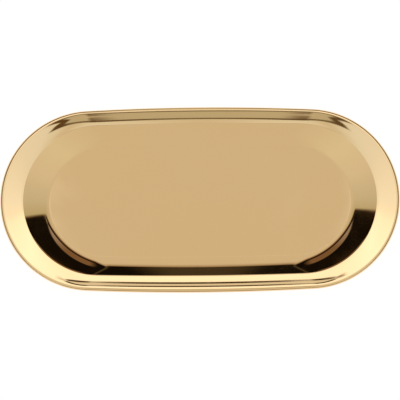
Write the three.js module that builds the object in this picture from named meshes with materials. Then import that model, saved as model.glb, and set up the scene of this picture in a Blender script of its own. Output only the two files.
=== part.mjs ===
// Oblong metal tray, pressed from one round-ended blank of polished sheet.
// Millimetres, +Z up. The flat underside lies on z = 0 and the tray's length runs along X.
// From the middle outwards the sheet forms a flat floor, a crisp toe, a curved foot, a sloping wall,
// a crease, a wide and slightly dished flange, and a rolled edge that turns down and under.

import * as THREE from "three";

// Outer edge, seen from above: two round ends joined by long sides that bow out a little
const TRAY_LENGTH = 180;
const TRAY_WIDTH = 84.5;
const EDGE_BOW = 1.2;

// Height over all, and the sheet
const TRAY_HEIGHT = 7.2;
const SHEET_THICKNESS = 0.6;

// Rolled edge: outside radius, and how far the sheet turns past level
const ROLL_RADIUS = 1.4;
const ROLL_TURN = THREE.MathUtils.degToRad(235);

// Flange, from the outer edge in to the crease. It is dished: it steepens from its inner slope to
// its outer slope, and a shoulder eases it again to the slope at which it meets the roll.
const END_FLANGE_WIDTH = 10.1;
const SIDE_FLANGE_WIDTH = 7.3;
const INNER_SLOPE = THREE.MathUtils.degToRad(5);
const OUTER_SLOPE = THREE.MathUtils.degToRad(12);
const RIM_SLOPE = THREE.MathUtils.degToRad(8);
const SHOULDER_RADIUS = 25;

// Well: how far the wall and its foot reach in from the crease, their bends, and the long sides' bow
const END_WALL_RUN = 12;
const SIDE_WALL_RUN = 9.5;
const CREASE_RADIUS = 0.9;
const FOOT_RADIUS = 14;
const TOE_RADIUS = 0.2;
const TOE_SLOPE = THREE.MathUtils.degToRad(13.5);
const WELL_BOW = 0.6;

// Steps along each stretch of the section, round each of the two ends and along each long side
const STEPS = {
  toe: 1,
  foot: 4,
  wall: 1,
  crease: 3,
  dish: 3,
  shoulder: 1,
  rollTop: 1,
  rollSide: 5,
  rollUnder: 8,
};
const STEPS_ROUND_END = 28;
const STEPS_ALONG_SIDE = 8;

const QUARTER_TURN = Math.PI / 2;
const GOLD_COLOUR = 0xf0cf90;

// The line through the middle of the sheet, as points with the direction the line runs in.
// A point's reach is its distance outwards from the edge of the flat floor.
class SheetLine {
  constructor(height) {
    this.reach = 0;
    this.height = height;
    this.heading = 0;
    this.points = [];
    this.mark();
  }

  mark() {
    this.points.push({ reach: this.reach, height: this.height, heading: this.heading });
  }

  straight(length, steps) {
    for (let i = 0; i < steps; i += 1) {
      this.reach += (length / steps) * Math.cos(this.heading);
      this.height += (length / steps) * Math.sin(this.heading);
      this.mark();
    }
    return this;
  }

  // A bend of the given radius: a positive angle turns upwards, a negative one turns downwards.
  bend(radius, angle, steps) {
    const side = Math.sign(angle);
    const centreReach = this.reach - side * radius * Math.sin(this.heading);
    const centreHeight = this.height + side * radius * Math.cos(this.heading);
    const start = this.heading;
    for (let i = 1; i <= steps; i += 1) {
      this.heading = start + (angle * i) / steps;
      this.reach = centreReach + side * radius * Math.sin(this.heading);
      this.height = centreHeight - side * radius * Math.cos(this.heading);
      this.mark();
    }
    return this;
  }
}

const halfSheet = SHEET_THICKNESS / 2;
const rollMiddleRadius = ROLL_RADIUS - halfSheet;
const creaseMiddleRadius = CREASE_RADIUS - halfSheet;
const footMiddleRadius = FOOT_RADIUS + halfSheet;
const toeMiddleRadius = TOE_RADIUS + halfSheet;

// The bend of the given radius that turns from one slope to another reaches this far and this high.
const bendRun = (radius, from, to) => radius * Math.abs(Math.sin(to) - Math.sin(from));
const bendRise = (radius, from, to) => radius * Math.abs(Math.cos(from) - Math.cos(to));

// The dish of the flange is one wide bend that fills the width the shoulder and the roll leave.
function dishRadius(flangeWidth) {
  const shoulderRun = bendRun(SHOULDER_RADIUS, OUTER_SLOPE, RIM_SLOPE);
  const rollRun = ROLL_RADIUS + bendRun(rollMiddleRadius, RIM_SLOPE, 0);
  return (flangeWidth - shoulderRun - rollRun) / bendRun(1, INNER_SLOPE, OUTER_SLOPE);
}

// The foot and the straight wall from the toe to the crease, without a kink at either end of the wall
function wallBetween(wallRun, flangeWidth) {
  const rimRise =
    bendRise(dishRadius(flangeWidth), INNER_SLOPE, OUTER_SLOPE) +
    bendRise(SHOULDER_RADIUS, OUTER_SLOPE, RIM_SLOPE) +
    bendRise(rollMiddleRadius, RIM_SLOPE, 0);
  const creaseRise = TRAY_HEIGHT - SHEET_THICKNESS - rimRise;
  const bends = footMiddleRadius + creaseMiddleRadius;
  const toeRun = bendRun(toeMiddleRadius, 0, TOE_SLOPE);
  const toeRise = bendRise(toeMiddleRadius, 0, TOE_SLOPE);

  // From the centre of the foot's bend to the centre of the crease's bend
  const footCentreReach = toeRun - footMiddleRadius * Math.sin(TOE_SLOPE);
  const footCentreHeight = toeRise + footMiddleRadius * Math.cos(TOE_SLOPE);
  const creaseCentreReach = wallRun + creaseMiddleRadius * Math.sin(INNER_SLOPE);
  const creaseCentreHeight = creaseRise - creaseMiddleRadius * Math.cos(INNER_SLOPE);
  const run = creaseCentreReach - footCentreReach;
  const rise = creaseCentreHeight - footCentreHeight;
  const length = Math.sqrt(run ** 2 + rise ** 2 - bends ** 2);
  const slope = Math.atan2(rise, run) + Math.atan2(bends, length);
  return { length, slope };
}

// The section of the sheet for one width of flange and one run of wall, as a closed loop.
// Each point has its inset from the outer edge of the tray, and its height.
function sheetSection(flangeWidth, wallRun) {
  const wall = wallBetween(wallRun, flangeWidth);
  const line = new SheetLine(halfSheet)
    .bend(toeMiddleRadius, TOE_SLOPE, STEPS.toe)
    .bend(footMiddleRadius, wall.slope - TOE_SLOPE, STEPS.foot)
    .straight(wall.length, STEPS.wall)
    .bend(creaseMiddleRadius, INNER_SLOPE - wall.slope, STEPS.crease)
    .bend(dishRadius(flangeWidth), OUTER_SLOPE - INNER_SLOPE, STEPS.dish)
    .bend(SHOULDER_RADIUS, RIM_SLOPE - OUTER_SLOPE, STEPS.shoulder)
    .bend(rollMiddleRadius, -RIM_SLOPE, STEPS.rollTop)
    .bend(rollMiddleRadius, -QUARTER_TURN, STEPS.rollSide)
    .bend(rollMiddleRadius, QUARTER_TURN - ROLL_TURN, STEPS.rollUnder);

  const outerReach = wallRun + flangeWidth;
  const face = (offset) =>
    line.points.map(({ reach, height, heading }) => ({
      inset: outerReach - reach + offset * Math.sin(heading),
      height: height + offset * Math.cos(heading),
    }));
  return [...face(halfSheet), ...face(-halfSheet).reverse()];
}

// One ring of the tray: a four-arc oval given by its half length, half width and the bow of its sides.
// The list starts at +X and runs anticlockwise. Each point also has how far it faces along X.
function ovalRing(halfLength, halfWidth, bow) {
  const endRadius = halfWidth - bow;
  const endCentre = halfLength - endRadius;
  const sideRadius = (endCentre ** 2 + halfWidth ** 2 - endRadius ** 2) / (2 * bow);
  const sideCentre = sideRadius - halfWidth;
  const join = Math.atan2(sideCentre, endCentre);
  const points = [];

  const addArc = (x, y, radius, from, to, steps) => {
    for (let i = 0; i < steps; i += 1) {
      const angle = from + ((to - from) * i) / steps;
      points.push({
        x: x + radius * Math.cos(angle),
        y: y + radius * Math.sin(angle),
        faceX: Math.cos(angle) ** 2,
      });
    }
  };

  addArc(endCentre, 0, endRadius, -join, join, STEPS_ROUND_END);
  addArc(0, -sideCentre, sideRadius, join, Math.PI - join, STEPS_ALONG_SIDE);
  addArc(-endCentre, 0, endRadius, Math.PI - join, Math.PI + join, STEPS_ROUND_END);
  addArc(0, sideCentre, sideRadius, Math.PI + join, 2 * Math.PI - join, STEPS_ALONG_SIDE);
  return points;
}

// The long sides bow most at the outer edge, and the bow eases off across the flange.
function bowAt(inset) {
  const across = THREE.MathUtils.clamp(inset / SIDE_FLANGE_WIDTH, 0, 1);
  return THREE.MathUtils.lerp(EDGE_BOW, WELL_BOW, across);
}

// The section is carried round the outline: the round ends take the end section, the long sides
// take the side section, and in between the height passes smoothly from one to the other.
function pressedTrayGeometry() {
  const endSection = sheetSection(END_FLANGE_WIDTH, END_WALL_RUN);
  const sideSection = sheetSection(SIDE_FLANGE_WIDTH, SIDE_WALL_RUN);

  const rings = endSection.map((atEnd, k) => {
    const atSide = sideSection[k];
    const halfLength = TRAY_LENGTH / 2 - atEnd.inset;
    const halfWidth = TRAY_WIDTH / 2 - atSide.inset;
    return ovalRing(halfLength, halfWidth, bowAt(atSide.inset)).map(({ x, y, faceX }) => [
      x,
      y,
      THREE.MathUtils.lerp(atSide.height, atEnd.height, faceX),
    ]);
  });

  const around = rings[0].length;
  const positions = rings.flat(2);
  const topMiddle = rings.length * around;
  const underMiddle = topMiddle + 1;
  positions.push(0, 0, SHEET_THICKNESS, 0, 0, 0);

  const index = [];
  const last = rings.length - 1;
  for (let i = 0; i < around; i += 1) {
    const next = (i + 1) % around;
    for (let k = 0; k < last; k += 1) {
      const inner = k * around;
      const outer = inner + around;
      index.push(inner + i, outer + i, outer + next);
      index.push(inner + i, outer + next, inner + next);
    }
    index.push(topMiddle, i, next);
    index.push(underMiddle, last * around + next, last * around + i);
  }

  const geometry = new THREE.BufferGeometry();
  geometry.setAttribute("position", new THREE.Float32BufferAttribute(positions, 3));
  geometry.setIndex(index);
  geometry.computeVertexNormals();
  return geometry;
}

const polishedGold = new THREE.MeshStandardMaterial({
  color: GOLD_COLOUR,
  metalness: 1,
  roughness: 0.06,
});

const pressedTray = new THREE.Mesh(pressedTrayGeometry(), polishedGold);
pressedTray.name = "pressed_tray";

const group = new THREE.Group();
group.name = "metal_tray";
group.add(pressedTray);

export default group;
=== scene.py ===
import math

import bmesh
import bpy
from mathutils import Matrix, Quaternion, Vector


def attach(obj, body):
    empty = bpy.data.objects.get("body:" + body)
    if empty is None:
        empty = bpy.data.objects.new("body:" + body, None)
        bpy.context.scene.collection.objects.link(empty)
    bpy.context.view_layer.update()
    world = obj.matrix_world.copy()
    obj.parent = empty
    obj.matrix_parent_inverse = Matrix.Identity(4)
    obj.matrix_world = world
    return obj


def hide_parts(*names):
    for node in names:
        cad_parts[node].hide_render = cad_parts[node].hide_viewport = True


bl_info = {
    "name": "Metal tray",
    "version": (1, 0, 0),
    "blender": (4, 5, 0),
    "location": "View3D > Sidebar > Metal tray",
    "description": "Presses an oblong tray with a rolled edge from one polished gold-coloured sheet",
    "category": "Add Mesh",
}

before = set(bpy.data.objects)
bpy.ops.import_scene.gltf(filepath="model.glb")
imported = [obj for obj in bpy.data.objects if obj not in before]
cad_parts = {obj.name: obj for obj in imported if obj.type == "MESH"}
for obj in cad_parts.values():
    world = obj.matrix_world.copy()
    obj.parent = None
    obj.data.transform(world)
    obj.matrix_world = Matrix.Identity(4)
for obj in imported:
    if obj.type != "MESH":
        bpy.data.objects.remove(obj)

MM = 0.001


def millimetres(name, description, value):
    """A length property, given in millimetres and kept in metres."""
    return bpy.props.FloatProperty(
        name=name,
        description=description,
        default=value * MM,
        min=0.0,
        precision=5,
        subtype="DISTANCE",
        unit="LENGTH",
    )


def degrees(name, description, value):
    """An angle property, given in degrees and kept in radians."""
    return bpy.props.FloatProperty(
        name=name,
        description=description,
        default=math.radians(value),
        subtype="ANGLE",
        unit="ROTATION",
    )


def share(name, description, value, most=1.0):
    """A plain number property from nothing up to the most it may be."""
    return bpy.props.FloatProperty(
        name=name, description=description, default=value, min=0.0, max=most, subtype="FACTOR"
    )


def colour(name, description, value):
    """A colour property in linear red, green and blue."""
    return bpy.props.FloatVectorProperty(
        name=name, description=description, default=value, size=3, min=0.0, max=1.0, subtype="COLOR"
    )


class TrayShape(bpy.types.PropertyGroup):
    """The sizes of the tray and of the section of its sheet"""

    length: millimetres("Length", "Tray from end to end, over the rolled edge", 180)
    width: millimetres("Width", "Tray from side to side, over the rolled edge", 84.5)
    height: millimetres("Height", "From the desk to the top of the rim", 7.2)
    sheet: millimetres("Sheet", "Thickness of the pressed sheet", 0.6)
    edge_bow: millimetres("Edge bow", "How far the long sides bow out at the rolled edge", 1.2)
    well_bow: millimetres("Well bow", "How far the long sides bow out at the crease and the floor", 0.6)
    end_flange: millimetres("Flange at the ends", "From the outer edge in to the crease", 10.1)
    side_flange: millimetres("Flange at the sides", "From the outer edge in to the crease", 7.3)
    end_wall: millimetres("Wall at the ends", "From the crease in to the flat floor", 12)
    side_wall: millimetres("Wall at the sides", "From the crease in to the flat floor", 9.5)
    toe_radius: millimetres("Toe radius", "Tight bend where the floor turns up", 0.2)
    toe_angle: degrees("Toe angle", "Slope at which the tight bend passes to the foot", 13.5)
    foot_radius: millimetres("Foot radius", "Wide bend between the toe and the straight wall", 14)
    crease_radius: millimetres("Crease radius", "Bend over which the wall turns out to the flange", 0.9)
    inner_tilt: degrees("Inner tilt", "Slope of the flange beside the crease", 5)
    outer_tilt: degrees("Outer tilt", "Steepest slope of the flange, below the rim", 12)
    rim_tilt: degrees("Rim tilt", "Slope at which the flange passes to the roll", 8)
    shoulder_radius: millimetres("Shoulder radius", "Wide bend that eases the flange towards the rim", 25)
    roll_radius: millimetres("Roll radius", "Outside radius of the rolled edge", 1.4)
    roll_turn: degrees("Roll turn", "How far the sheet turns down and under at its edge", 235)


class TrayFinish(bpy.types.PropertyGroup):
    """The gold-coloured polish and its fine wear"""

    gold: colour("Gold", "Colour of the polished coat", (0.92, 0.65, 0.34))
    worn_gold: colour("Worn gold", "Colour where the coat is handled most", (0.9, 0.62, 0.31))
    polish: share("Polish", "Roughness of the clean mirror polish", 0.03)
    smudge: share("Smudge", "Roughness of the faint smudges on it", 0.085)
    ripple: share("Ripple", "Depth of the slight waves that pressing leaves", 0.05)


class StudioSetting(bpy.types.PropertyGroup):
    """The camera and the soft room that the polish mirrors"""

    camera_rise: degrees("Camera rise", "Camera's height over the horizon, seen from the tray", 81)
    camera_roll: degrees("Camera roll", "Turn of the camera about its own line of sight", 0.52)
    camera_distance: millimetres("Camera distance", "From the tray to the camera", 1200)
    tent_radius: millimetres("Tent radius", "Radius of the light tent over the tray", 3000)
    floor_reach: millimetres("Floor reach", "From the tray to each edge of the studio floor", 1600)
    floor_drop: millimetres("Floor drop", "Gap that keeps the floor clear of the underside", 0.05)
    brightest: share("Brightest cloth", "Strength of the tent's brightest cloth", 1.7, most=4.0)


# Steps in which each stretch of the section is drawn
STEPS = {
    "floor": 1,
    "toe": 5,
    "foot": 18,
    "wall": 8,
    "crease": 14,
    "sweep": 12,
    "shoulder": 10,
    "roll_top": 3,
    "roll_side": 22,
    "roll_under": 24,
    "cut_edge": 6,
}

# The floor is drawn in three rings, given as shares of its half size. The narrow ones beside the toe
# keep its shading flat.
FLOOR_RINGS = (0.98, 0.018, 0.002)

# Steps round the whole tray, and the share of each quarter's steps that its round end takes
STEPS_AROUND = 248
END_SHARE = 0.74

QUARTER_TURN = math.pi / 2
HALF_TURN = math.pi
MERGE_DISTANCE = 1e-7


def straight(length, steps):
    """A flat stretch of the section."""
    return {"length": length, "steps": steps}


def bend(radius, angle, steps):
    """A bend of the section, with the radius of the sheet's middle: up if the angle is positive."""
    return {"radius": radius, "angle": angle, "steps": steps}


def section_stretches(shape, half_size, flange, wall):
    """The stretches of the sheet's middle line, from the tray's middle out to the end of the roll."""
    half_sheet = shape.sheet / 2
    toe = shape.toe_radius + half_sheet
    foot = shape.foot_radius + half_sheet
    crease = shape.crease_radius - half_sheet
    roll = shape.roll_radius - half_sheet
    shoulder = shape.shoulder_radius
    inner, outer, rim = shape.inner_tilt, shape.outer_tilt, shape.rim_tilt

    # The sweep of the flange is one wide bend that fills the width the shoulder and the roll leave.
    roll_run = roll * (1 + math.sin(rim)) + half_sheet
    shoulder_run = shoulder * (math.sin(outer) - math.sin(rim))
    sweep = (flange - roll_run - shoulder_run) / (math.sin(outer) - math.sin(inner))
    rim_rise = (
        sweep * (math.cos(inner) - math.cos(outer))
        + shoulder * (math.cos(rim) - math.cos(outer))
        + roll * (1 - math.cos(rim))
    )
    crease_rise = shape.height - shape.sheet - rim_rise

    # The toe and the flange's tilt are taken out, so that the foot and the crease start level.
    run = wall + (foot - toe) * math.sin(shape.toe_angle) + crease * math.sin(inner)
    rise = crease_rise + (foot - toe) * (1 - math.cos(shape.toe_angle)) + crease * (1 - math.cos(inner))
    bends = foot + crease
    wall_length = math.sqrt(run**2 + (rise - bends) ** 2 - bends**2)
    slope = math.atan2(rise - bends, run) + math.atan2(bends, wall_length)
    floor = half_size - flange - wall

    return [
        *(straight(floor * ring, STEPS["floor"]) for ring in FLOOR_RINGS),
        bend(toe, shape.toe_angle, STEPS["toe"]),
        bend(foot, slope - shape.toe_angle, STEPS["foot"]),
        straight(wall_length, STEPS["wall"]),
        bend(crease, inner - slope, STEPS["crease"]),
        bend(sweep, outer - inner, STEPS["sweep"]),
        bend(shoulder, rim - outer, STEPS["shoulder"]),
        bend(roll, -rim, STEPS["roll_top"]),
        bend(roll, -QUARTER_TURN, STEPS["roll_side"]),
        bend(roll, QUARTER_TURN - shape.roll_turn, STEPS["roll_under"]),
    ]


def draw_straight(bm, tip, heading, stretch):
    """Draws a flat stretch on from the tip and returns the new tip."""
    step = Vector((math.cos(heading), 0.0, math.sin(heading))) * (stretch["length"] / stretch["steps"])
    for _ in range(stretch["steps"]):
        tip = bmesh.ops.extrude_vert_indiv(bm, verts=[tip])["verts"][0]
        bmesh.ops.translate(bm, verts=[tip], vec=step)
    return tip


def draw_bend(bm, tip, heading, stretch, half_sheet):
    """Spins the tip along one face of a bent stretch and returns the new tip."""
    side = math.copysign(1.0, stretch["angle"])
    face_radius = stretch["radius"] - side * half_sheet
    to_centre = Vector((-math.sin(heading), 0.0, math.cos(heading))) * (side * face_radius)
    turned = bmesh.ops.spin(
        bm,
        geom=[tip],
        cent=tip.co + to_centre,
        axis=(0.0, -1.0, 0.0),
        angle=stretch["angle"],
        steps=stretch["steps"],
        use_merge=False,
        use_duplicate=False,
    )
    return [part for part in turned["geom_last"] if isinstance(part, bmesh.types.BMVert)][0]


def from_its_end(stretch):
    """The same stretch of the section, drawn from its end back to its start."""
    if "length" in stretch:
        return stretch
    return bend(stretch["radius"], -stretch["angle"], stretch["steps"])


def draw_section(shape, half_size, flange, wall):
    """Draws the outline of the sheet's section in the XZ plane and returns it as a bmesh."""
    out = section_stretches(shape, half_size, flange, wall)
    cut_edge = bend(0.0, -HALF_TURN, STEPS["cut_edge"])
    back = [from_its_end(stretch) for stretch in reversed(out)]

    # Over the upper face, round the cut edge of the sheet and back under the lower face
    bm = bmesh.new()
    tip = bm.verts.new((0.0, 0.0, shape.sheet))
    heading = 0.0
    for stretch in [*out, cut_edge, *back]:
        if "length" in stretch:
            tip = draw_straight(bm, tip, heading, stretch)
        else:
            tip = draw_bend(bm, tip, heading, stretch, shape.sheet / 2)
            heading += stretch["angle"]
    return bm


def oval_point(half_length, half_width, bow, turn):
    """A point of a four-arc oval and how far it faces along X. The turn runs from 0 to 1 from +X."""
    end_radius = half_width - bow
    end_centre = half_length - end_radius
    side_radius = (end_centre**2 + half_width**2 - end_radius**2) / (2 * bow)
    side_centre = side_radius - half_width
    join = math.atan2(side_centre, end_centre)

    # All quarters are worked out as the first one, which lies at +X and +Y, and then flipped. Every
    # other quarter runs from the long side to the end, so its part is counted backwards.
    quarter = (turn * 4) % 4
    index, part = int(quarter), quarter % 1.0
    if index % 2:
        part = 1.0 - part
    if part < END_SHARE:
        angle = join * part / END_SHARE
        centre_x, centre_y, radius = end_centre, 0.0, end_radius
    else:
        angle = join + (QUARTER_TURN - join) * (part - END_SHARE) / (1.0 - END_SHARE)
        centre_x, centre_y, radius = 0.0, -side_centre, side_radius
    x = centre_x + radius * math.cos(angle)
    y = centre_y + radius * math.sin(angle)
    flip_x = -1.0 if index in (1, 2) else 1.0
    flip_y = -1.0 if index in (2, 3) else 1.0
    return x * flip_x, y * flip_y, math.cos(angle) ** 2


def settle_order(bm):
    """Sorts the edges and faces by their corners. The spin leaves them in a new order at each run."""
    bm.verts.index_update()
    count = len(bm.verts)
    corners_that_tell_apart = 3

    def place(part):
        """One number made of the lowest corners' indices, as the digits of a count are."""
        number = 0
        for corner in sorted(vert.index for vert in part.verts)[:corners_that_tell_apart]:
            number = number * count + corner
        return number

    bm.edges.sort(key=place)
    bm.faces.sort(key=place)


def press_sheet(shape):
    """The tray as a bmesh: the end section is spun to a round dish, which is then drawn out oblong."""
    bm = draw_section(shape, shape.length / 2, shape.end_flange, shape.end_wall)
    side = draw_section(shape, shape.width / 2, shape.side_flange, shape.side_wall)
    side_reach = bm.verts.layers.float.new("side_reach")
    side_height = bm.verts.layers.float.new("side_height")
    for at_end, at_side in zip(bm.verts, side.verts):
        at_end[side_reach] = at_side.co.x
        at_end[side_height] = at_side.co.z
    side.free()

    bmesh.ops.spin(
        bm,
        geom=[*bm.verts, *bm.edges],
        cent=(0.0, 0.0, 0.0),
        axis=(0.0, 0.0, 1.0),
        angle=math.tau,
        steps=STEPS_AROUND,
        use_merge=True,
        use_duplicate=False,
    )
    bmesh.ops.remove_doubles(bm, verts=bm.verts, dist=MERGE_DISTANCE)
    settle_order(bm)

    floor_length = shape.length / 2 - shape.end_flange - shape.end_wall
    floor_width = shape.width / 2 - shape.side_flange - shape.side_wall
    # Each ring is drawn out to an oval of its own. On the floor it is the floor's edge drawn inwards.
    for vert in bm.verts:
        half_length = math.hypot(vert.co.x, vert.co.y)
        half_width = vert[side_reach]
        turn = (math.atan2(vert.co.y, vert.co.x) / math.tau) % 1.0
        if half_length < floor_length:
            x, y, facing = oval_point(floor_length, floor_width, shape.well_bow, turn)
            x *= half_length / floor_length
            y *= half_length / floor_length
        else:
            across = min(1.0, max(0.0, (shape.width / 2 - half_width) / shape.side_flange))
            bow = shape.edge_bow + (shape.well_bow - shape.edge_bow) * across
            x, y, facing = oval_point(half_length, half_width, bow, turn)
        vert.co = (x, y, vert[side_height] + (vert.co.z - vert[side_height]) * facing)

    # Removing the first layer moves the second, so that one is looked up again.
    bm.verts.layers.float.remove(side_reach)
    bm.verts.layers.float.remove(bm.verts.layers.float["side_height"])
    bmesh.ops.recalc_face_normals(bm, faces=bm.faces)
    return bm


def make_object(name, bm, material):
    """Puts the finished shape into the scene, under that name and in that material."""
    mesh = bpy.data.meshes.new(name)
    bm.to_mesh(mesh)
    bm.free()
    mesh.materials.append(material)
    made = bpy.data.objects.new(name, mesh)
    bpy.context.scene.collection.objects.link(made)
    return made


def new_material(name):
    """A new material and its node tree, which is empty."""
    material = bpy.data.materials.new(name)
    material.use_nodes = True
    material.node_tree.nodes.clear()
    return material, material.node_tree


def add_node(tree, kind, inputs=None, **settings):
    """A node of that kind. An input is a plain value, an amount or another node's output."""
    node = tree.nodes.new(kind)
    for key, value in settings.items():
        setattr(node, key, value)
    for key, value in (inputs or {}).items():
        if isinstance(value, Amount):
            value = value.socket
        if isinstance(value, bpy.types.NodeSocket):
            tree.links.new(value, node.inputs[key])
        else:
            node.inputs[key].default_value = value
    return node


def put_on_surface(tree, shader):
    """Ends the tree with that shader as the material's surface."""
    add_node(tree, "ShaderNodeOutputMaterial", {"Surface": shader.outputs[0]})


class Amount:
    """A number that a node tree works out. Sums with it add Math nodes to the tree."""

    def __init__(self, tree, socket):
        self.tree = tree
        self.socket = socket

    def __add__(self, other):
        return maths("ADD", self, other)

    def __sub__(self, other):
        return maths("SUBTRACT", self, other)

    def __rsub__(self, other):
        return maths("SUBTRACT", other, self)

    def __mul__(self, other):
        return maths("MULTIPLY", self, other)

    def __truediv__(self, other):
        return maths("DIVIDE", self, other)

    def __abs__(self):
        return maths("ABSOLUTE", self)

    __radd__ = __add__
    __rmul__ = __mul__


def maths(operation, *values):
    """The result of one Math node. At least one of the values is an amount."""
    tree = next(value.tree for value in values if isinstance(value, Amount))
    node = add_node(tree, "ShaderNodeMath", dict(enumerate(values)), operation=operation)
    return Amount(tree, node.outputs["Value"])


def fade(amount, low, high, below=0.0, above=1.0):
    """Passes smoothly from below to above while the amount goes from low to high."""
    ends = {"Value": amount, "From Min": low, "From Max": high, "To Min": below, "To Max": above}
    node = add_node(amount.tree, "ShaderNodeMapRange", ends, interpolation_type="SMOOTHSTEP")
    return Amount(amount.tree, node.outputs["Result"])


def fall(amount, low, high):
    """Passes smoothly from 1 down to 0 while the amount goes from low to high."""
    return fade(amount, low, high, 1.0, 0.0)


def blend(amount, first, second):
    """The first number where the amount is 0 and the second where it is 1."""
    return first + amount * (second - first)


# Where Blender's Mix node has its sockets when it mixes colours
MIX_AMOUNT = 0
MIX_FIRST = 6
MIX_SECOND = 7
MIX_RESULT = 2


def mix_colours(amount, first, second):
    """The first colour where the amount is 0 and the second where it is 1."""
    colours = [c if isinstance(c, bpy.types.NodeSocket) else (*c, 1.0) for c in (first, second)]
    inputs = {MIX_AMOUNT: amount, MIX_FIRST: colours[0], MIX_SECOND: colours[1]}
    return add_node(amount.tree, "ShaderNodeMix", inputs, data_type="RGBA").outputs[MIX_RESULT]


def mix_shaders(amount, first, second):
    """The first shader where the amount is 0 and the second where it is 1."""
    inputs = (amount, first.outputs[0], second.outputs[0])
    return add_node(amount.tree, "ShaderNodeMixShader", dict(enumerate(inputs)))


def colour_ramp(amount, stops):
    """A ramp of colours between the given (place, colour) stops."""
    node = add_node(amount.tree, "ShaderNodeValToRGB", {"Fac": amount})
    elements = node.color_ramp.elements
    while len(elements) < len(stops):
        elements.new(0.5)
    for element, (place, tone) in zip(elements, stops):
        element.position = place
        element.color = (*tone, 1.0)
    return node.outputs["Color"]


# Soft patterns of the finish, as settings of the Noise Texture
SMUDGES = {"Scale": 38.0, "Detail": 5.0, "Roughness": 0.62, "Distortion": 0.5}
WEAR = {"Scale": 14.0, "Detail": 3.0, "Roughness": 0.5}
WAVES = {"Scale": 55.0, "Detail": 1.0, "Roughness": 0.4}

# The polish is clean where the smudges' pattern is below the first level, and smudged above the second.
SMUDGE_LEVELS = (0.45, 0.75)
WAVE_HEIGHT = 0.2 * MM


def soft_pattern(tree, place, pattern):
    """One soft pattern of the finish, between 0 and 1."""
    node = add_node(tree, "ShaderNodeTexNoise", {"Vector": place, **pattern})
    return Amount(tree, node.outputs["Fac"])


def polished_gold(finish):
    """The mirror-polished gold coat, with faint smudges, slight waves and a little wear."""
    material, tree = new_material("polished_gold")
    place = add_node(tree, "ShaderNodeTexCoord").outputs["Object"]

    roughness = add_node(
        tree,
        "ShaderNodeMapRange",
        {
            "Value": soft_pattern(tree, place, SMUDGES),
            "From Min": SMUDGE_LEVELS[0],
            "From Max": SMUDGE_LEVELS[1],
            "To Min": finish.polish,
            "To Max": finish.smudge,
        },
    )
    ripples = add_node(
        tree,
        "ShaderNodeBump",
        {
            "Height": soft_pattern(tree, place, WAVES),
            "Strength": finish.ripple,
            "Distance": WAVE_HEIGHT,
        },
    )
    coat = add_node(
        tree,
        "ShaderNodeBsdfPrincipled",
        {
            "Base Color": mix_colours(soft_pattern(tree, place, WEAR), finish.gold, finish.worn_gold),
            "Metallic": 1.0,
            "Roughness": roughness.outputs["Result"],
            "Normal": ripples.outputs["Normal"],
        },
    )
    put_on_surface(tree, coat)
    return material


# Tones of the tent's cloth, as shares of its brightest cloth. A place on a ramp is 0 in front of the
# tray and 1 behind it.
OVERHEAD_TONE = (0.408, 0.398, 0.374)
RING_TONES = (
    (0.0, OVERHEAD_TONE),
    (0.06, (0.46, 0.49, 0.51)),
    (0.14, (0.5, 0.55, 0.61)),
    (0.25, (0.52, 0.565, 0.63)),
    (0.35, (0.56, 0.6, 0.66)),
    (0.5, (0.61, 0.665, 0.75)),
    (0.57, (0.65, 0.7, 0.76)),
    (0.62, (0.77, 0.8, 0.86)),
    (0.78, (0.82, 0.88, 0.98)),
    (1.0, (0.76, 0.79, 0.84)),
)
LOW_TONES = (
    (0.0, OVERHEAD_TONE),
    (0.2, (0.445, 0.46, 0.435)),
    (0.35, (0.43, 0.43, 0.42)),
    (0.5, (0.365, 0.375, 0.355)),
    (0.58, (0.31, 0.31, 0.24)),
    (0.75, (0.408, 0.398, 0.36)),
    (1.0, OVERHEAD_TONE),
)
PANEL_BEHIND = (0.48, 0.49, 0.48)
PANEL_IN_FRONT = (0.325, 0.327, 0.296)
LINE_BEHIND = (0.035, 0.022, 0.006)
LINE_IN_FRONT = (0.1, 0.088, 0.05)
LINE_AT_SIDE = (0.07, 0.045, 0.02)
SEAM_TONE = (0.08, 0.065, 0.03)
BROWN_AT_SIDES = (0.13, 0.065, 0.028)
BROWN_IN_MIDDLE = (0.24, 0.2, 0.15)
DARK_AT_SIDES = (0.004, 0.003, 0.002)
DARK_IN_MIDDLE = (0.036, 0.029, 0.019)
TABLE_AT_ENDS = (0.2, 0.17, 0.16)
TABLE_BEHIND = (0.12, 0.075, 0.045)
BASE_TONE = (0.03, 0.024, 0.014)

# Here and in the cloth's functions, a pair of numbers is where a soft change begins and where it ends.
# These are distances from the spot that the flat floor mirrors, going outwards and down.
RING_BEGINS = (0.075, 0.105)
RING_ENDS = (0.375, 0.395)
FLAG_BEGINS = (0.4, 0.44)
LOW_TONES_BEGIN = (0.42, 0.66)


class TentSpot:
    """Where a spot of the tent lies, seen from the tray, as amounts.

    x and y belong to the direction to it, which has a length of 1, and across is x without its sign.
    height is in degrees over the horizon. off is how far x and y are from the spot that the flat floor
    mirrors. bearing is how it lies from there, from -90 degrees in front to 90 behind on either side,
    and way_round is the same from 0 to 1.
    """

    def __init__(self, tree, camera_rise):
        place = add_node(tree, "ShaderNodeTexCoord").outputs["Object"]
        direction = add_node(tree, "ShaderNodeVectorMath", {"Vector": place}, operation="NORMALIZE")
        parts = add_node(tree, "ShaderNodeSeparateXYZ", {"Vector": direction.outputs["Vector"]}).outputs
        self.x = Amount(tree, parts["X"])
        self.y = Amount(tree, parts["Y"])
        self.across = abs(self.x)
        self.height = maths("ARCSINE", Amount(tree, parts["Z"])) * math.degrees(1.0)
        ahead = self.y - math.cos(camera_rise)
        self.off = maths("SQRT", self.x * self.x + ahead * ahead)
        self.bearing = maths("ARCTAN2", ahead, self.across) * math.degrees(1.0)
        self.way_round = self.bearing / 180.0 + 0.5


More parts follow.
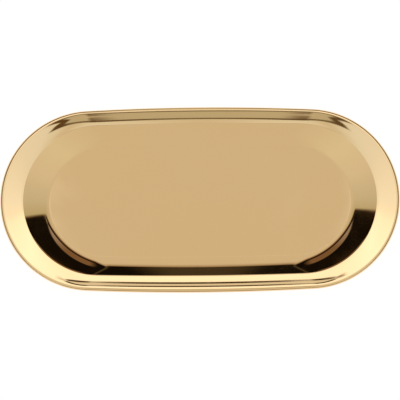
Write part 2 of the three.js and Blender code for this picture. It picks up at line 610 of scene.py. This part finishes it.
def panel_behind(spot, cloth):
    """Lays a panel behind on the cloth, with a dark edge that curves up at both ends."""
    edge_in_middle = 0.458
    edge_curve = 8.0
    edge_softness = 0.03
    half_line = (0.014, 0.03)
    middle_ends = (0.032, 0.055)
    line_at_ends = 0.2

    past_edge = spot.y - (spot.x * spot.x * edge_curve + edge_in_middle)
    cloth = mix_colours(fade(past_edge, 0.0, edge_softness), cloth, PANEL_BEHIND)
    line = fall(abs(past_edge), *half_line) * fade(spot.across, *middle_ends, 1.0, line_at_ends)
    return mix_colours(line, cloth, LINE_BEHIND)


def seam_behind(spot, cloth):
    """Draws a dark seam on the cloth at each end of the panel behind, stronger on the left."""
    seam_bearing = 78.0
    half_seam = (1.5, 4.5)
    begins_across = (0.045, 0.06)
    begins_off = (0.26, 0.32)
    left_to_right = (-0.02, 0.02)
    strength_left = 0.8
    strength_right = 0.3

    seam = fall(abs(spot.bearing - seam_bearing), *half_seam)
    beyond = fade(spot.across, *begins_across) * fade(spot.off, *begins_off)
    strength = fade(spot.x, *left_to_right, strength_left, strength_right)
    return mix_colours(seam * beyond * strength, cloth, SEAM_TONE)


def panel_in_front(spot, cloth):
    """Lays a duller panel in front on the cloth. Its dark edge is widest and darkest at its sides."""
    half_width = 0.06
    nearest_edge = -0.1
    edge_softness = 0.025
    line_in_middle = 0.013
    line_widening = 0.1
    line_softness = (-0.004, 0.012)
    front_to_side = (0.01, 0.05)

    outside = maths("MAXIMUM", spot.across - half_width, spot.y - nearest_edge)
    cloth = mix_colours(fall(outside, -edge_softness, 0.0), cloth, PANEL_IN_FRONT)
    line_tone = mix_colours(fade(spot.across, *front_to_side), LINE_IN_FRONT, LINE_AT_SIDE)
    line_width = spot.across * line_widening + line_in_middle
    line = fall(abs(outside) - line_width, *line_softness)
    return mix_colours(line, cloth, line_tone)


def upper_cloth(spot):
    """The even cloth overhead and the brighter ring round it, with the ring's panels."""
    ring = colour_ramp(spot.way_round, RING_TONES)
    ring = panel_behind(spot, ring)
    ring = seam_behind(spot, ring)
    ring = panel_in_front(spot, ring)
    return mix_colours(fade(spot.off, *RING_BEGINS), OVERHEAD_TONE, ring)


def lower_cloth(spot):
    """The cloth below the ring. It starts out as even as overhead and dulls round the sides."""
    dull = colour_ramp(spot.way_round, LOW_TONES)
    return mix_colours(fade(spot.off, *LOW_TONES_BEGIN), OVERHEAD_TONE, dull)


class LowFlag:
    """A dark flag that hangs low behind, brown along its top. It is lower and softer in the middle.

    behind is 1 where the flag and the table under it can be, and top is the flag's height there.
    """

    def __init__(self, spot):
        front_left = 0.27
        front_right = 0.305
        left_to_right = (-0.1, 0.1)
        set_back_low_down = 0.13
        low_to_high = (34.5, 41.0)
        front_softness = 0.05
        highest = 42.0
        droop = 0.0027

        front = fade(spot.x, *left_to_right, front_left, front_right)
        front += fade(spot.height, *low_to_high, set_back_low_down, 0.0)
        self.spot = spot
        self.behind = fade(spot.y - front, 0.0, front_softness) * fade(spot.off, *FLAG_BEGINS)
        self.top = highest - spot.bearing * spot.bearing * droop

    def hang(self, cloth):
        """Hangs the flag before the cloth, first its brown top and then its dark part."""
        side_to_middle = (82.0, 90.5)
        end_to_side = (25.0, 45.0)
        brown_over_top_at_ends = 5.0
        brown_over_top_at_sides = 11.0
        brown_top_in_middle = 27.0
        brown_begins = 0.5
        dark_over_top = 1.0
        dark_top_in_middle = 11.5
        dark_rise_across = 130.0
        dark_softness = 1.5
        dark_tone_changes = (0.006, 0.02)

        sideways = fade(self.spot.bearing, *end_to_side)
        brown_top = self.top + blend(sideways, brown_over_top_at_ends, brown_over_top_at_sides)
        rising_top = self.spot.across * dark_rise_across + dark_top_in_middle
        dark_top = maths("MINIMUM", self.top + dark_over_top, rising_top)
        above_dark = self.spot.height - dark_top

        # The brown fades out from just over the dark part up to its own top.
        middle = fade(self.spot.bearing, *side_to_middle)
        brown_ends = blend(middle, brown_top, brown_top_in_middle) - dark_top
        brown = fall(above_dark, brown_begins, brown_ends)
        brown_tone = mix_colours(middle, BROWN_AT_SIDES, BROWN_IN_MIDDLE)
        cloth = mix_colours(self.behind * brown, cloth, brown_tone)

        dark = fall(above_dark, -dark_softness, dark_softness)
        near_middle = fall(self.spot.across, *dark_tone_changes)
        dark_tone = mix_colours(near_middle, DARK_AT_SIDES, DARK_IN_MIDDLE)
        return mix_colours(self.behind * dark, cloth, dark_tone)

    def show_table(self, cloth):
        """Lets the table's far end show under the flag, beside the middle."""
        gap_under_top = (-7.5, -4.5)
        beside_ends = (76.0, 84.0)
        end_to_side = (35.0, 58.0)

        under_flag = fall(self.spot.height - self.top, *gap_under_top)
        beside = fall(self.spot.bearing, *beside_ends)
        table_tone = mix_colours(fade(self.spot.bearing, *end_to_side), TABLE_AT_ENDS, TABLE_BEHIND)
        return mix_colours(self.behind * under_flag * beside, cloth, table_tone)


def dark_base(spot, cloth):
    """Darkens the lowest cloth in front and at the ends, which the rim mirrors as a thin line.

    At the ends a lighter strip runs through it, so that a low camera doesn't see a dark tray.
    """
    top_in_front = 18.5
    top_at_ends = 37.0
    top_behind = 4.0
    front_to_end = (-75.0, -25.0)
    end_to_behind = (10.0, 45.0)
    top_softness = 3.0
    strip_bottom = (8.0, 11.0)
    strip_top = (18.0, 21.0)
    strip_begins = (-72.0, -64.0)

    top = fade(spot.bearing, *front_to_end, top_in_front, top_at_ends)
    top = blend(fade(spot.bearing, *end_to_behind), top, top_behind)
    base = fall(spot.height - top, -top_softness, 0.0)
    strip = fade(spot.height, *strip_bottom) * fall(spot.height, *strip_top)
    strip *= fade(spot.bearing, *strip_begins)
    return mix_colours(base * (1.0 - strip), cloth, BASE_TONE)


def tent_cloth(setting):
    """The cloth of the tent, whose tone goes by the direction in which it is seen from the tray."""
    material, tree = new_material("tent_cloth")
    spot = TentSpot(tree, setting.camera_rise)
    cloth = mix_colours(fade(spot.off, *RING_ENDS), upper_cloth(spot), lower_cloth(spot))
    flag = LowFlag(spot)
    cloth = flag.hang(cloth)
    cloth = flag.show_table(cloth)
    cloth = dark_base(spot, cloth)
    glow = add_node(tree, "ShaderNodeEmission", {"Color": cloth, "Strength": setting.brightest})
    put_on_surface(tree, glow)
    return material


def light_tent(setting):
    """A round tent over the tray, whose cloth is the soft light. The camera looks through it."""
    bm = bmesh.new()
    bmesh.ops.create_uvsphere(bm, u_segments=96, v_segments=48, radius=setting.tent_radius)
    bmesh.ops.bisect_plane(
        bm,
        geom=[*bm.verts, *bm.edges, *bm.faces],
        plane_co=(0.0, 0.0, 0.0),
        plane_no=(0.0, 0.0, 1.0),
        clear_inner=True,
    )
    bmesh.ops.reverse_faces(bm, faces=bm.faces)
    tent = make_object("light_tent", bm, tent_cloth(setting))
    tent.visible_camera = False
    return tent


WHITE = (1.0, 1.0, 1.0, 1.0)

# The floor's paper, the glow that makes it white to the camera and in reflections, and how much of the
# glow is seen. The rest is lit paper, which keeps the tray's shadow.
PAPER = (0.9, 0.9, 0.9, 1.0)
PAPER_GLOW = 1.12
GLOW_SHARE = 0.82


def white_surroundings():
    """A plain white background beyond the tent and the floor."""
    world = bpy.data.worlds.new("white_surroundings")
    bpy.context.scene.world = world
    world.use_nodes = True
    background = world.node_tree.nodes["Background"].inputs
    background["Color"].default_value = WHITE
    background["Strength"].default_value = 1.0


def white_paper():
    """White paper that keeps a soft shadow. From below it is see-through."""
    material, tree = new_material("white_paper")
    path = add_node(tree, "ShaderNodeLightPath").outputs
    camera, glossy, transmission = (
        Amount(tree, path[f"Is {kind} Ray"]) for kind in ("Camera", "Glossy", "Transmission")
    )
    seen = maths("MAXIMUM", camera, maths("MAXIMUM", glossy, transmission))
    paper = add_node(tree, "ShaderNodeBsdfDiffuse", {"Color": PAPER})
    glow = add_node(tree, "ShaderNodeEmission", {"Color": WHITE, "Strength": PAPER_GLOW})
    clear = add_node(tree, "ShaderNodeBsdfTransparent")
    from_below = Amount(tree, add_node(tree, "ShaderNodeNewGeometry").outputs["Backfacing"])
    from_above = mix_shaders(seen * GLOW_SHARE, paper, glow)
    put_on_surface(tree, mix_shaders(from_below, from_above, clear))
    return material


def pale_floor(setting):
    """The plain white floor under the tray."""
    bm = bmesh.new()
    bmesh.ops.create_grid(bm, x_segments=1, y_segments=1, size=setting.floor_reach)
    bmesh.ops.translate(bm, verts=bm.verts, vec=(0.0, 0.0, -setting.floor_drop))
    return make_object("studio_floor", bm, white_paper())


# The camera aims at this share of the tray's height, and the tray's length fills the picture.
AIM_SHARE = 0.6
SENSOR_WIDTH_MM = 36.0


def photo_camera(setting, shape):
    """The camera of the photograph, nearly overhead and a little in front of the tray."""
    data = bpy.data.cameras.new("photo_camera")
    camera = bpy.data.objects.new("photo_camera", data)
    bpy.context.scene.collection.objects.link(camera)

    rise = setting.camera_rise
    to_camera = Vector((0.0, -math.cos(rise), math.sin(rise)))
    aim_height = shape.height * AIM_SHARE
    camera.location = Vector((0.0, 0.0, aim_height)) + to_camera * setting.camera_distance
    turn = (-to_camera).to_track_quat("-Z", "Y")
    turn.rotate(Quaternion(to_camera, -setting.camera_roll))
    camera.rotation_mode = "QUATERNION"
    camera.rotation_quaternion = turn

    rim_distance = setting.camera_distance - (shape.height - aim_height)
    data.sensor_width = SENSOR_WIDTH_MM
    data.lens = SENSOR_WIDTH_MM * rim_distance / shape.length
    data.clip_start = 0.05
    data.clip_end = 20.0
    bpy.context.scene.camera = camera


class PressTray(bpy.types.Operator):
    """Press the tray from one sheet and polish it"""

    bl_idname = "metal_tray.press_tray"
    bl_label = "Press the tray"

    def execute(self, context):
        bm = press_sheet(context.scene.tray_shape)
        for face in bm.faces:
            face.smooth = True
        tray = make_object("polished_tray", bm, polished_gold(context.scene.tray_finish))
        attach(tray, "root")
        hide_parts("pressed_tray")
        return {"FINISHED"}


class SetStage(bpy.types.Operator):
    """Set up the pale floor, the soft room and the camera"""

    bl_idname = "metal_tray.set_stage"
    bl_label = "Set the stage"

    def execute(self, context):
        setting = context.scene.studio_setting
        white_surroundings()
        pale_floor(setting)
        light_tent(setting)
        photo_camera(setting, context.scene.tray_shape)
        context.scene.view_settings.view_transform = "Standard"
        return {"FINISHED"}


class TrayPanel(bpy.types.Panel):
    """The tray's sizes, finish and studio"""

    bl_idname = "VIEW3D_PT_metal_tray"
    bl_label = "Metal tray"
    bl_space_type = "VIEW_3D"
    bl_region_type = "UI"
    bl_category = "Metal tray"

    def draw(self, context):
        layout = self.layout
        scene = context.scene
        for group in (scene.tray_shape, scene.tray_finish, scene.studio_setting):
            box = layout.box()
            for name in group.__annotations__:
                box.prop(group, name)
        layout.operator(PressTray.bl_idname)
        layout.operator(SetStage.bl_idname)


CLASSES = (TrayShape, TrayFinish, StudioSetting, PressTray, SetStage, TrayPanel)


def register():
    """Registers the classes and their properties on the scene."""
    for cls in CLASSES:
        bpy.utils.register_class(cls)
    bpy.types.Scene.tray_shape = bpy.props.PointerProperty(type=TrayShape)
    bpy.types.Scene.tray_finish = bpy.props.PointerProperty(type=TrayFinish)
    bpy.types.Scene.studio_setting = bpy.props.PointerProperty(type=StudioSetting)


def unregister():
    """Takes the properties and the classes away again."""
    del bpy.types.Scene.studio_setting
    del bpy.types.Scene.tray_finish
    del bpy.types.Scene.tray_shape
    for cls in reversed(CLASSES):
        bpy.utils.unregister_class(cls)


def main():
    """Makes the tray and its stage."""
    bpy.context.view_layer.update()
    register()
    bpy.ops.metal_tray.press_tray()
    bpy.ops.metal_tray.set_stage()


if __name__ == "__main__":
    main()
